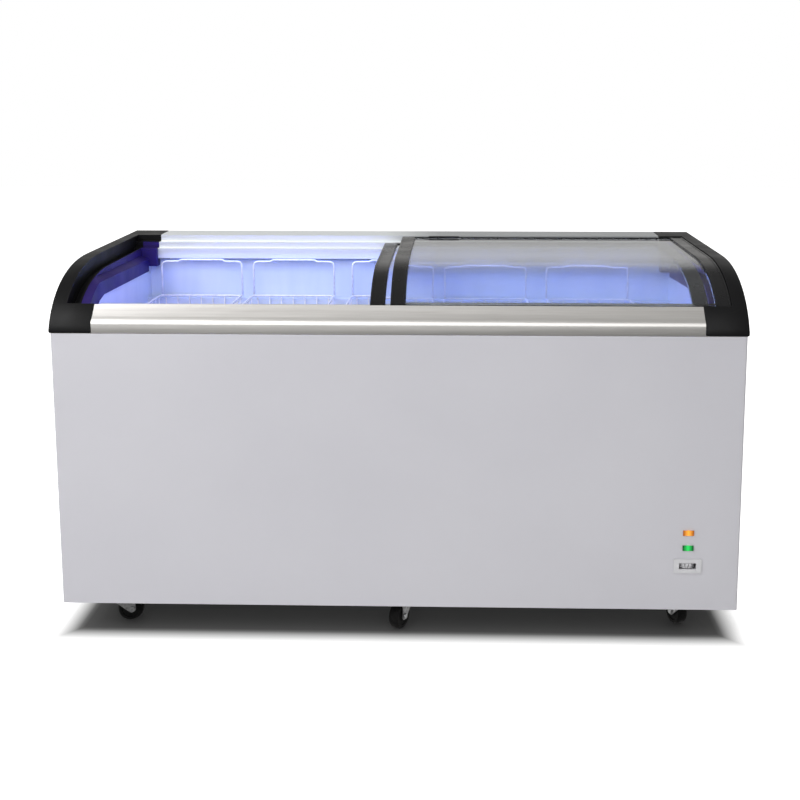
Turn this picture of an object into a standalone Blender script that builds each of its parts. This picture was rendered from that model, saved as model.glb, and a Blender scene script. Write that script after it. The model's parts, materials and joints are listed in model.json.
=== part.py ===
"""Chest freezer with two sliding curved glass lids.

Origin on the floor under the middle of the freezer, +X to the right seen from the front,
+Y to the back, +Z up, in metres. Every piece is one closed solid.
"""

import math

import bmesh
import bpy
from mathutils import Matrix, Vector

# ---------------------------------------------------------------- driving dimensions
WIDTH = 1.540  # over the end caps
DEPTH = 0.665  # front panel to back panel
FRONT = -DEPTH / 2
BODY_Z = 0.083  # underside of the body above the floor
BODY_HALF = 0.766  # half width of the painted body
BODY_TOP = 0.6275  # top edge of the painted body above its underside
CAP_BOTTOM = 0.6283
CAP_INNER = 0.674  # inner face of an end cap
CAP_RECESS = 0.7365  # inner face of the cap's outer band
CAP_WALL = 0.7165  # upright wall between the lid recess and the well
CAP_LIP = 0.6965  # lip that hangs over the liner's top edge
CAP_BLOCK = 0.530  # depth at which the cap's rear block begins
SHEET = 0.0012
GAP = 0.0003

LINER_HALF = 0.700
LINER_WALL = 0.002
LINER_FRONT = 0.065
LINER_BACK = 0.560
LEDGE_FRONT = 0.090
LEDGE_BACK = 0.520
LEDGE_Z = 0.615
LINER_FLOOR = 0.072
HUMP_X = 0.402
HUMP_Z = 0.300
ROOM_X = 0.446  # left side of the compressor compartment
ROOM_Z = 0.250  # ceiling of the compressor compartment

LID_HALF = 0.3755
STILE = 0.034
LID_START = 0.315  # where along the rim curve the lids begin
UPPER_X = 0.3605  # middle of the upper lid at rest
LOWER_X = 0.3140
UPPER_OFF = (0.003, 0.015)
LOWER_OFF = (0.017, 0.029)
UPPER_END = 0.5755
LOWER_END = 0.5535

BASKET_X = (-0.554, -0.306, -0.040, 0.208, 0.479)
BASKET_HALF = 0.1117
BASKET_RIM = 0.6263
BASKET_BOTTOM = 0.326
BASKET_BOTTOM_SHALLOW = 0.340
BASKET_HOOK = 0.7205

WHEEL_R = 0.030
WHEEL_W = 0.024
TRAIL = 0.022
# pivot x, pivot depth, swivel angle of the trail from +X
CASTERS = {
    "front_left": (-0.660, 0.088, 20.0),
    "front_middle": (0.010, 0.088, -117.0),
    "front_right": (0.660, 0.088, 110.0),
    "rear_left": (-0.660, 0.577, 75.0),
    "rear_middle": (0.010, 0.577, 140.0),
    "rear_right": (0.660, 0.577, 35.0),
}

# rim curve of the end caps: depth behind the front panel, height above the body's underside
RIM = ((0.0, 0.635), (0.018, 0.690), (0.085, 0.768), (0.270, 0.7715))
RIM_END = (0.6645, 0.782)

# ---------------------------------------------------------------- start from an empty scene
for old in list(bpy.data.objects):
    bpy.data.objects.remove(old, do_unlink=True)

PARTS = bpy.data.collections.new("chest_freezer")
CUTTERS = bpy.data.collections.new("cutters")
bpy.context.scene.collection.children.link(PARTS)
bpy.context.scene.collection.children.link(CUTTERS)


def material(name, colour, rough, metal=0.0, alpha=1.0):
    """A Principled material."""
    m = bpy.data.materials.new(name)
    m.use_nodes = True
    shader = m.node_tree.nodes["Principled BSDF"]
    shader.inputs["Base Color"].default_value = (*colour, 1.0)
    shader.inputs["Roughness"].default_value = rough
    shader.inputs["Metallic"].default_value = metal
    shader.inputs["Alpha"].default_value = alpha
    m.diffuse_color = (*colour, alpha)
    m.metallic = metal
    m.roughness = rough
    return m


PAINT = material("grey_painted_steel", (0.60, 0.60, 0.62), 0.35)
GALV = material("galvanised_steel", (0.45, 0.46, 0.47), 0.45, 1.0)
LINER = material("white_liner", (0.80, 0.82, 0.86), 0.35)
FOAM = material("insulation_foam", (0.85, 0.78, 0.55), 0.90)
ALU = material("brushed_aluminium", (0.72, 0.71, 0.69), 0.30, 1.0)
BLACK = material("black_plastic", (0.018, 0.018, 0.020), 0.38)
GLASS = material("clear_glass", (0.80, 0.88, 0.92), 0.04, 0.0, 0.35)
WIRE = material("white_coated_wire", (0.85, 0.86, 0.90), 0.40)
DARK = material("black_enamel", (0.02, 0.02, 0.022), 0.45)
COPPER = material("black_coil_tube", (0.04, 0.04, 0.045), 0.50, 0.4)
WHITE = material("white_plastic", (0.80, 0.80, 0.80), 0.40)
AMBER = material("amber_lens", (0.90, 0.42, 0.05), 0.20)
GREEN = material("green_lens", (0.03, 0.60, 0.20), 0.20)
LAMP = material("led_lamp_lens", (0.55, 0.55, 1.0), 0.30)
RUBBER = material("black_wheel_rubber", (0.02, 0.02, 0.02), 0.70)


# ---------------------------------------------------------------- helpers
def place(obj, mat=None, cutter=False):
    """Put an object in its collection, with its material."""
    for c in list(obj.users_collection):
        c.objects.unlink(obj)
    (CUTTERS if cutter else PARTS).objects.link(obj)
    if cutter:
        obj.hide_render = True
        obj.display_type = "WIRE"
    if mat is not None:
        obj.data.materials.clear()
        obj.data.materials.append(mat)
    return obj


def to_mesh(obj):
    """A mesh object with the evaluated shape of obj, welded, in its place."""
    bpy.context.view_layer.update()
    graph = bpy.context.evaluated_depsgraph_get()
    mesh = bpy.data.meshes.new_from_object(obj.evaluated_get(graph))
    bm = bmesh.new()
    bm.from_mesh(mesh)
    bmesh.ops.remove_doubles(bm, verts=bm.verts, dist=1e-6)
    bmesh.ops.recalc_face_normals(bm, faces=bm.faces)
    bm.to_mesh(mesh)
    bm.free()
    new = bpy.data.objects.new(obj.name + "_mesh", mesh)
    new.matrix_world = obj.matrix_world.copy()
    name = obj.name
    bpy.data.objects.remove(obj, do_unlink=True)
    new.name = name
    mesh.name = name
    return new


def smooth(obj, angle=35.0):
    """Round pieces shaded smooth, with sharp edges kept."""
    obj.data.shade_smooth()
    obj.data.set_sharp_from_angle(angle=math.radians(angle))
    return obj


def box(name, x, y, z, mat=None, cutter=False, bevel=0.0):
    """A box from three (low, high) pairs, y behind the front panel and z above the body's underside."""
    bpy.ops.mesh.primitive_cube_add(size=1.0)
    obj = bpy.context.object
    obj.name = name
    size = Vector((x[1] - x[0], y[1] - y[0], z[1] - z[0]))
    obj.data.transform(Matrix.Diagonal((*size, 1.0)))
    obj.location = (
        (x[0] + x[1]) / 2,
        FRONT + (y[0] + y[1]) / 2,
        BODY_Z + (z[0] + z[1]) / 2,
    )
    if bevel:
        b = obj.modifiers.new("edges", "BEVEL")
        b.width = bevel
        b.segments = 2
        b.limit_method = "ANGLE"
    return place(obj, mat, cutter)


def outline(name, points, low, high, plane, mat=None, cutter=False, bevel=0.0):
    """A flat outline given thickness from low to high.

    plane "YZ" takes (depth, height) points and runs along X, plane "XZ" runs along Y and
    plane "XY" runs along Z. Depths are behind the front panel, heights above the underside.
    """
    data = bpy.data.curves.new(name, "CURVE")
    data.dimensions = "2D"
    data.fill_mode = "BOTH"
    data.extrude = (high - low) / 2 - bevel
    if bevel:
        data.bevel_depth = bevel
        data.bevel_resolution = 1
        data.offset = -bevel
    spline = data.splines.new("POLY")
    spline.points.add(len(points) - 1)
    for point, (a, b) in zip(spline.points, points):
        point.co = (a, b, 0.0, 1.0)
    spline.use_cyclic_u = True
    obj = bpy.data.objects.new(name, data)
    bpy.context.scene.collection.objects.link(obj)
    mid = (low + high) / 2
    if plane == "YZ":
        basis = Matrix(((0, 0, 1, mid), (1, 0, 0, FRONT), (0, 1, 0, BODY_Z), (0, 0, 0, 1)))
    elif plane == "XZ":
        basis = Matrix(((1, 0, 0, 0), (0, 0, -1, FRONT + mid), (0, 1, 0, BODY_Z), (0, 0, 0, 1)))
    else:
        basis = Matrix(((1, 0, 0, 0), (0, 1, 0, FRONT), (0, 0, 1, BODY_Z + mid), (0, 0, 0, 1)))
    obj.matrix_world = basis
    return place(to_mesh(obj), mat, cutter)


def turned(name, profile, steps, mat=None, cutter=False):
    """A turned solid about local Z from (radius, height) points, top to bottom."""
    mesh = bpy.data.meshes.new(name)
    verts = [(r, 0.0, z) for r, z in profile]
    mesh.from_pydata(verts, [(i, i + 1) for i in range(len(verts) - 1)], [])
    obj = bpy.data.objects.new(name, mesh)
    bpy.context.scene.collection.objects.link(obj)
    screw = obj.modifiers.new("turn", "SCREW")
    screw.steps = steps
    screw.render_steps = steps
    screw.use_merge_vertices = True
    screw.merge_threshold = 0.00005
    return place(to_mesh(obj), mat, cutter)


def boolean(obj, other, operation="DIFFERENCE"):
    """A Boolean of obj with other, which stays as a cutter."""
    place(other, None, True)
    m = obj.modifiers.new("cut_" + other.name, "BOOLEAN")
    m.operation = operation
    m.object = other
    m.solver = "EXACT"
    return obj


def bake(obj):
    """Apply an object's modifiers."""
    mats = list(obj.data.materials)
    parent = obj.parent
    new = place(to_mesh(obj))
    new.data.materials.clear()
    for m in mats:
        new.data.materials.append(m)
    new.parent = parent
    return new


def strip(path, thick):
    """A closed outline that runs along path, thick to its right-hand side."""
    back = []
    for i, p in enumerate(path):
        here = Vector(p)
        before = Vector(path[max(i - 1, 0)])
        after = Vector(path[min(i + 1, len(path) - 1)])
        a = (here - before).normalized() if i else (after - here).normalized()
        b = (after - here).normalized() if i < len(path) - 1 else a
        na = Vector((a.y, -a.x))
        nb = Vector((b.y, -b.x))
        mid = (na + nb).normalized()
        back.append(tuple(here + mid * (thick / max(mid.dot(na), 0.4))))
    return list(path) + back[::-1]


def rim(u, inward=0.0):
    """A point on the rim curve, u from 0 to 1 round the bend and to 2 along the top."""
    if u <= 1.0:
        p = [Vector(q) for q in RIM]
        v = 1.0 - u
        at = v**3 * p[0] + 3 * v * v * u * p[1] + 3 * v * u * u * p[2] + u**3 * p[3]
        way = v * v * (p[1] - p[0]) + 2 * v * u * (p[2] - p[1]) + u * u * (p[3] - p[2])
    else:
        a = Vector(RIM[3])
        b = Vector(RIM_END)
        at = a + (b - a) * (u - 1.0)
        way = b - a
    way.normalize()
    return tuple(at + Vector((way.y, -way.x)) * inward)


def rim_at(depth, inward=0.0):
    """The u at which the offset rim curve reaches a depth."""
    low, high = 0.0, 2.0
    for _ in range(50):
        mid = (low + high) / 2
        if rim(mid, inward)[0] < depth:
            low = mid
        else:
            high = mid
    return (low + high) / 2


def rim_run(u0, u1, inward, count):
    """Points along the offset rim curve, close round the bend and sparse along the top."""
    stops = [u0 + (min(u1, 1.0) - u0) * i / (count - 1) for i in range(count)] if u0 < 1 else [u0]
    if u1 > 1.0:
        stops.append(u1)
    return [rim(u, inward) for u in stops]


def band(u0, end, off, count=13):
    """A closed outline between two offsets of the rim curve, from u0 to a depth."""
    outer = rim_run(u0, rim_at(end, off[0]), off[0], count)
    inner = rim_run(u0, rim_at(end, off[1]), off[1], count)
    return outer + inner[::-1]


def empty_at(name, location, angle=0.0):
    """An empty that carries a joint axis."""
    e = bpy.data.objects.new(name, None)
    e.empty_display_size = 0.03
    e.location = location
    e.rotation_euler = (0.0, 0.0, math.radians(angle))
    bpy.context.scene.collection.objects.link(e)
    bpy.context.view_layer.update()
    return e


def ride(obj, carrier):
    """Parent obj to an empty without moving it."""
    bpy.context.view_layer.update()
    obj.parent = carrier
    obj.matrix_parent_inverse = carrier.matrix_world.inverted()
    return obj


# ---------------------------------------------------------------- body shell
def rounded_u(half, radius, inset, back=DEPTH - GAP):
    """Plan outline of the folded front and sides, as (x, depth) points."""
    pts = [(-half, back)]
    for k in range(6):
        a = math.radians(180 + 90 * k / 5)
        pts.append((-half + radius + radius * math.cos(a), inset + radius + radius * math.sin(a)))
    for k in range(6):
        a = math.radians(270 + 90 * k / 5)
        pts.append((half - radius + radius * math.cos(a), inset + radius + radius * math.sin(a)))
    pts.append((half, back))
    return pts


wrapper_plan = rounded_u(BODY_HALF, 0.006, 0.0)
wrapper_plan += rounded_u(BODY_HALF - SHEET, 0.0048, SHEET)[::-1]
wrapper = outline("outer_wrapper", wrapper_plan, 0.0, BODY_TOP, "XY", PAINT)

LAMP_X = (0.6383, 0.6627)
LAMPS = {"amber_indicator": (0.1808, AMBER), "green_indicator": (0.1457, GREEN)}
DIAL_X = 0.6505
DIAL_Z = 0.1037
for name, (z, mat) in LAMPS.items():
    hole = box(name + "_hole", (LAMP_X[0] + 0.001, LAMP_X[1] - 0.001), (-0.01, 0.01),
               (z - 0.0048, z + 0.0048), None, True)
    boolean(wrapper, hole)
hole = box("thermostat_hole", (DIAL_X - 0.0245, DIAL_X + 0.0245), (-0.01, 0.01),
           (DIAL_Z - 0.0133, DIAL_Z + 0.0133), None, True)
boolean(wrapper, hole)

PANEL = BODY_HALF - SHEET - GAP
back_panel = box("back_panel", (-PANEL, PANEL), (DEPTH - SHEET, DEPTH), (0.0023, BODY_TOP), PAINT)
GRILLE_X = (0.480, 0.740)
GRILLE_Z = (0.050, 0.235)
boolean(back_panel, box("grille_hole", (GRILLE_X[0] + 0.01, GRILLE_X[1] - 0.01), (0.65, 0.68),
                        (GRILLE_Z[0] + 0.01, GRILLE_Z[1] - 0.01), None, True))
GLAND = (0.715, 0.028)
gland_hole = turned("gland_hole", [(0.0, 0.02), (0.0085, 0.02), (0.0085, -0.02), (0.0, -0.02)], 16,
                    None, True)
gland_hole.rotation_euler = (math.radians(90), 0, 0)
gland_hole.location = (GLAND[0], FRONT + DEPTH, BODY_Z + GLAND[1])
boolean(back_panel, gland_hole)

inside_plan = rounded_u(PANEL, 0.006, SHEET + GAP, DEPTH - SHEET - GAP)
base = outline("base_tray", inside_plan, 0.0, 0.002, "XY", GALV)

grille = box("rear_grille", GRILLE_X, (DEPTH + GAP, DEPTH + 0.003), GRILLE_Z, DARK)
slot_count = 9
for i in range(slot_count):
    z = GRILLE_Z[0] + 0.022 + i * (GRILLE_Z[1] - GRILLE_Z[0] - 0.044) / (slot_count - 1)
    boolean(grille, box("slot_%d" % i, (GRILLE_X[0] + 0.018, GRILLE_X[1] - 0.018), (0.65, 0.68),
                        (z - 0.005, z + 0.005), None, True))

gland = turned(
    "cord_gland",
    [(0.0045, 0.003), (0.012, 0.003), (0.012, 0.0003), (0.008, 0.0003), (0.008, -0.012),
     (0.0045, -0.012), (0.0045, 0.003)],
    16, BLACK,
)
gland.rotation_euler = (math.radians(-90), 0, 0)
gland.location = (GLAND[0], FRONT + DEPTH, BODY_Z + GLAND[1])


# ---------------------------------------------------------------- liner and insulation
def tub(name, grow):
    """The two solids that make the liner's inner or grown volume: the well and the ledge zone."""
    half = LINER_HALF + grow
    well = [(-half, LINER_FLOOR - grow), (HUMP_X + grow, LINER_FLOOR - grow), (HUMP_X + grow, HUMP_Z - grow),
            (half, HUMP_Z - grow), (half, 0.80), (-half, 0.80)]
    low = outline(name + "_well", well, LEDGE_FRONT - grow, LEDGE_BACK + grow, "XZ", None, True)
    top = box(name + "_ledge", (-half, half), (LINER_FRONT - grow, LINER_BACK + grow),
              (LEDGE_Z - grow, 0.80 - grow / 2), None, True)
    return low, top


outer_low, outer_top = tub("liner_outer", LINER_WALL)
liner = place(outer_low, LINER)
liner.hide_render = False
liner.display_type = "TEXTURED"
liner.name = "inner_liner"
boolean(liner, outer_top, "UNION")
inner_low, inner_top = tub("liner_inner", 0.0)
boolean(liner, inner_low)
boolean(liner, inner_top)
above = rim_run(0.0, 2.0, 0.0625, 14)
above = [(above[0][0] - 0.2, above[0][1])] + above + [(0.9, above[-1][1]), (0.9, 1.0), (-0.2, 1.0)]
boolean(liner, outline("liner_trim", above, -0.9, 0.9, "YZ", None, True))

foam = outline("foam_insulation", inside_plan, 0.0023, BODY_TOP - GAP, "XY", FOAM)
foam_low, foam_top = tub("foam_void", LINER_WALL + GAP)
boolean(foam, foam_low)
boolean(foam, foam_top)
boolean(foam, box("compressor_room", (ROOM_X, 0.9), (-0.05, 0.80), (-0.02, ROOM_Z), None, True))

# ---------------------------------------------------------------- top frame
rail_path = [(0.0, 0.6283), (0.0, 0.648), (0.0015, 0.6530), (0.0045, 0.6575), (0.0085, 0.6612),
             (0.0130, 0.6655), rim(0.298), rim(0.298, 0.0305), rim(0.400, 0.0305), (0.0735, 0.640)]
front_rail = outline("front_rail", strip(rail_path, 0.0025), -CAP_INNER + GAP, CAP_INNER - GAP, "YZ", ALU)
smooth(front_rail)

rear_path = [(0.5400, 0.7205), (0.5400, 0.7460), (0.5420, 0.7480), (0.5545, 0.7482), (0.5545, 0.7615),
             (0.5560, 0.7630), (0.5765, 0.7634), (0.5765, 0.7785), (0.5785, 0.7800), (0.6620, 0.7820),
             (0.6645, 0.7795), (0.6645, 0.6283)]
rear_rail = outline("rear_rail", strip(rear_path, 0.0025), -CAP_INNER + GAP, CAP_INNER - GAP, "YZ", ALU)


def end_cap(name, side):
    """A moulded end cap: outer band, lid recess, inner flange, pocket underneath."""
    def span(a, b):
        return (a, b) if side > 0 else (-b, -a)

    shape = [(0.0, CAP_BOTTOM)] + rim_run(0.0, 2.0, 0.0, 18) + [(RIM_END[0], CAP_BOTTOM)]
    low, high = span(CAP_INNER, WIDTH / 2)
    cap = outline(name, shape, low, high, "YZ", BLACK, False, 0.004)
    recess = rim_run(0.305, rim_at(0.5548, 0.0305), 0.0305, 12)
    recess += [rim(rim_at(0.5548, 0.0162), 0.0162), rim(rim_at(0.5768, 0.0162), 0.0162)]
    recess += [(0.5768, 0.90), (-0.25, 0.90), rim(0.305, -0.30)]
    low, high = span(0.60, CAP_RECESS)
    boolean(cap, outline(name + "_recess", recess, low, high, "YZ", None, True))
    groove = rim_run(0.36, rim_at(0.535, 0.040), 0.040, 12) + [(0.535, 0.765), (0.30, 0.765)]
    groove += [rim(0.60, 0.020), rim(0.36, 0.020)]
    low, high = span(CAP_WALL + 0.005, CAP_RECESS - 0.0005)
    boolean(cap, outline(name + "_groove", groove, low, high, "YZ", None, True))
    # the well side: an upright wall under the recess, a sloped ledge, and a lip over the liner's edge
    well = [(0.60, 0.55), (CAP_LIP, 0.55), (CAP_LIP, 0.719), (CAP_WALL, 0.728), (CAP_WALL, 0.90), (0.60, 0.90)]
    if side < 0:
        well = [(-x, h) for x, h in well[::-1]]
    boolean(cap, outline(name + "_well", well, 0.050, CAP_BLOCK, "XZ", None, True))
    rear = LINER_BACK + LINER_WALL + 0.0005
    mouth = [(0.040, 0.60), (0.040, 0.6640), (0.112, 0.6640), (0.118, 0.6680), (0.133, 0.6775), (0.165, 0.6865)]
    mouth += [(CAP_BLOCK, 0.6865), (CAP_BLOCK, 0.700), (rear, 0.700), (rear, 0.60)]
    low, high = span(0.60, LINER_HALF)
    boolean(cap, outline(name + "_mouth", mouth, low, high, "YZ", None, True))
    front = LINER_FRONT - LINER_WALL - 0.0005
    slot = [(front, 0.60), (front, rim(rim_at(front, 0.062), 0.062)[1])]
    slot += rim_run(rim_at(front + 0.001, 0.062), rim_at(rear - 0.001, 0.062), 0.062, 12)
    slot += [(rear, rim(rim_at(rear, 0.062), 0.062)[1]), (rear, 0.60)]
    low, high = span(LINER_HALF - 0.0004, LINER_HALF + LINER_WALL + 0.0005)
    boolean(cap, outline(name + "_slot", slot, low, high, "YZ", None, True))
    low, high = span(0.60, LINER_HALF + LINER_WALL + 0.0005)
    boolean(cap, box(name + "_slit", (low, high), (LINER_BACK - 0.0005, rear), (0.60, 0.7176), None, True))
    boolean(cap, box(name + "_pocket", span(0.7055, 0.7665), (0.020, 0.650), (0.60, 0.655), None, True))
    return smooth(cap, 30.0)


end_cap("right_end_cap", 1)
end_cap("left_end_cap", -1)

lamp = box("led_lamp", (-0.655, 0.655), (LINER_FRONT + GAP, LINER_FRONT + 0.0085),
           (LEDGE_Z + GAP, LEDGE_Z + 0.0145), LAMP)


# ---------------------------------------------------------------- sliding glass lids
def lid(name, middle, off, end):
    """Two stiles, front and rear trim and a bent pane, on a slide along X."""
    carrier = empty_at(name + "_slide", (middle, 0.0, BODY_Z + 0.70))
    low, high = middle - LID_HALF, middle + LID_HALF
    frame = band(LID_START, end, off)
    pieces = [
        outline(name + "_left_stile", frame, low, low + STILE, "YZ", BLACK),
        outline(name + "_right_stile", frame, high - STILE, high, "YZ", BLACK),
    ]
    inner = (low + STILE + GAP, high - STILE - GAP)
    u_front = LID_START + 0.024
    front = [rim(u, off[0]) for u in (LID_START, LID_START + 0.012, u_front)]
    front += [rim(u, off[1]) for u in (u_front, LID_START + 0.012, LID_START)]
    pieces.append(outline(name + "_front_trim", front, *inner, "YZ", BLACK))
    rear = [rim(rim_at(d, o), o) for d, o in
            ((end - 0.009, off[0]), (end, off[0]), (end, off[1]), (end - 0.009, off[1]))]
    pieces.append(outline(name + "_rear_trim", rear, *inner, "YZ", BLACK))
    pane = band(u_front + 0.003, end - 0.0095, (off[0] + 0.003, off[0] + 0.008), 14)
    pieces.append(outline(name + "_glass", pane, *inner, "YZ", GLASS))
    for piece in pieces:
        smooth(piece, 30.0)
        ride(piece, carrier)


lid("upper_lid", UPPER_X, UPPER_OFF, UPPER_END)
lid("lower_lid", LOWER_X, LOWER_OFF, LOWER_END)


# ---------------------------------------------------------------- baskets
def basket(name, x, bottom):
    """An open basket with a ledge lip front and back and a raised rear frame."""
    half = BASKET_HALF
    wall = 0.003
    depth = (LEDGE_FRONT + 0.002, LEDGE_BACK - 0.002)
    obj = box(name, (x - half, x + half), depth, (bottom, BASKET_RIM), WIRE)
    lip = box(name + "_lip", (x - half, x + half), (0.0765, 0.5360), (LEDGE_Z + GAP, LEDGE_Z + 0.005),
              None, True)
    boolean(obj, lip, "UNION")
    back = box(name + "_rear", (x - half, x + half), (0.5320, 0.5360), (LEDGE_Z + 0.001, BASKET_HOOK),
               None, True)
    boolean(obj, back, "UNION")
    boolean(obj, box(name + "_inside", (x - half + wall, x + half - wall),
                     (depth[0] + wall, depth[1] - wall), (bottom + wall, BASKET_RIM + 0.02), None, True))
    boolean(obj, box(name + "_window", (x - half + wall, x + half - wall), (0.525, 0.545),
                     (BASKET_RIM + 0.002, BASKET_HOOK - wall), None, True))
    new = bake(obj)
    carrier = empty_at(name + "_lift", (x, 0.0, BODY_Z + BASKET_RIM))
    ride(new, carrier)


for i, bx in enumerate(BASKET_X):
    basket("basket_%d" % (i + 1), bx, BASKET_BOTTOM if bx < 0.25 else BASKET_BOTTOM_SHALLOW)

# ---------------------------------------------------------------- controls on the front panel
for name, (z, mat) in LAMPS.items():
    lens = box(name, LAMP_X, (-0.0025, -GAP), (z - 0.0059, z + 0.0059), mat)
    stem = box(name + "_stem", (LAMP_X[0] + 0.0015, LAMP_X[1] - 0.0015), (-0.001, 0.016),
               (z - 0.0043, z + 0.0043), None, True)
    boolean(lens, stem, "UNION")

housing = box("thermostat_housing", (DIAL_X - 0.031, DIAL_X + 0.031), (-0.0030, -GAP),
              (DIAL_Z - 0.0162, DIAL_Z + 0.0162), WHITE)
boolean(housing, box("thermostat_body", (DIAL_X - 0.024, DIAL_X + 0.024), (-0.0015, 0.044),
                     (DIAL_Z - 0.0128, DIAL_Z + 0.0128), None, True), "UNION")
boolean(housing, box("thermostat_window", (DIAL_X - 0.019, DIAL_X + 0.019), (-0.01, 0.010),
                     (DIAL_Z - 0.0072, DIAL_Z + 0.0072), None, True))
boolean(housing, box("thermostat_inside", (DIAL_X - 0.022, DIAL_X + 0.022), (0.001, 0.060),
                     (DIAL_Z - 0.0108, DIAL_Z + 0.0108), None, True))

dial = turned(
    "thermostat_dial",
    [(0.0, 0.0100), (0.003, 0.0100), (0.003, 0.0058), (0.0185, 0.0058), (0.0195, 0.0048),
     (0.0195, -0.0048), (0.0185, -0.0058), (0.003, -0.0058), (0.003, -0.0100), (0.0, -0.0100)],
    32, WHITE,
)
smooth(dial)
dial.location = (DIAL_X, FRONT + 0.0180, BODY_Z + DIAL_Z)

# ---------------------------------------------------------------- cooling unit
shell = turned(
    "compressor",
    [(0.0, 0.178), (0.030, 0.176), (0.054, 0.168), (0.068, 0.152), (0.074, 0.130), (0.074, 0.060),
     (0.068, 0.040), (0.050, 0.026), (0.0, 0.022)],
    24, DARK,
)
smooth(shell)
shell.location = (0.600, FRONT + 0.470, BODY_Z + 0.0)
feet = box("compressor_feet", (0.500, 0.700), (0.400, 0.540), (0.0023, 0.030), None, True)
boolean(shell, feet, "UNION")


def serpentine(left, right, low, pitch, runs, depth, turn):
    """Centre line of the condenser, as world points."""
    pts = []
    for i in range(runs):
        z = low + i * pitch
        ends = (left, right) if i % 2 == 0 else (right, left)
        pts.append((ends[0], depth, z))
        pts.append((ends[1], depth, z))
        if i < runs - 1:
            sign = 1 if ends[1] == right else -1
            for k in range(1, turn):
                a = math.pi * k / turn - math.pi / 2
                pts.append((ends[1] + sign * pitch / 2 * math.cos(a), depth,
                            z + pitch / 2 + pitch / 2 * math.sin(a)))
    return [(x, FRONT + y, BODY_Z + z) for x, y, z in pts]


tube = bpy.data.curves.new("condenser_coil", "CURVE")
tube.dimensions = "3D"
tube.bevel_depth = 0.004
tube.bevel_resolution = 2
tube.use_fill_caps = True
coil_points = serpentine(0.480, 0.720, 0.028, 0.024, 9, 0.110, 6)
line = tube.splines.new("POLY")
line.points.add(len(coil_points) - 1)
for point, co in zip(line.points, coil_points):
    point.co = (*co, 1.0)
coil = bpy.data.objects.new("condenser_coil", tube)
bpy.context.scene.collection.objects.link(coil)
coil = smooth(place(to_mesh(coil), COPPER))

FAN = (0.600, 0.200, 0.122)
motor = turned("fan_motor", [(0.0, 0.052), (0.034, 0.052), (0.036, 0.048), (0.036, 0.006), (0.034, 0.002),
                             (0.0, 0.002)], 20, DARK)
smooth(motor)
motor.rotation_euler = (math.radians(-90), 0, 0)
motor.location = (FAN[0], FRONT + FAN[1], BODY_Z + FAN[2])
boolean(motor, box("motor_bracket", (FAN[0] - 0.02, FAN[0] + 0.02), (FAN[1] + 0.02, FAN[1] + 0.032),
                   (0.0023, FAN[2] - 0.02), None, True), "UNION")

fan = turned("fan_blade", [(0.0, 0.0), (0.021, 0.0), (0.024, -0.003), (0.024, -0.022), (0.0, -0.022)], 20,
             DARK)
fan.rotation_euler = (math.radians(-90), 0, 0)
fan.location = (FAN[0], FRONT + FAN[1], BODY_Z + FAN[2])
for i in range(5):
    bpy.ops.mesh.primitive_cube_add(size=1.0)
    blade = bpy.context.object
    blade.name = "blade_%d" % i
    blade.data.transform(Matrix.Diagonal((0.064, 0.042, 0.0022, 1.0)))
    pitch = Matrix.Rotation(math.radians(24), 4, "X")
    out = Matrix.Translation((0.052, 0.0, -0.011))
    turn = Matrix.Rotation(2 * math.pi * i / 5, 4, "Z")
    stand = Matrix.Translation(fan.location) @ Matrix.Rotation(math.radians(-90), 4, "X")
    blade.data.transform(turn @ out @ pitch)
    blade.matrix_world = stand
    boolean(fan, blade, "UNION")


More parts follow.
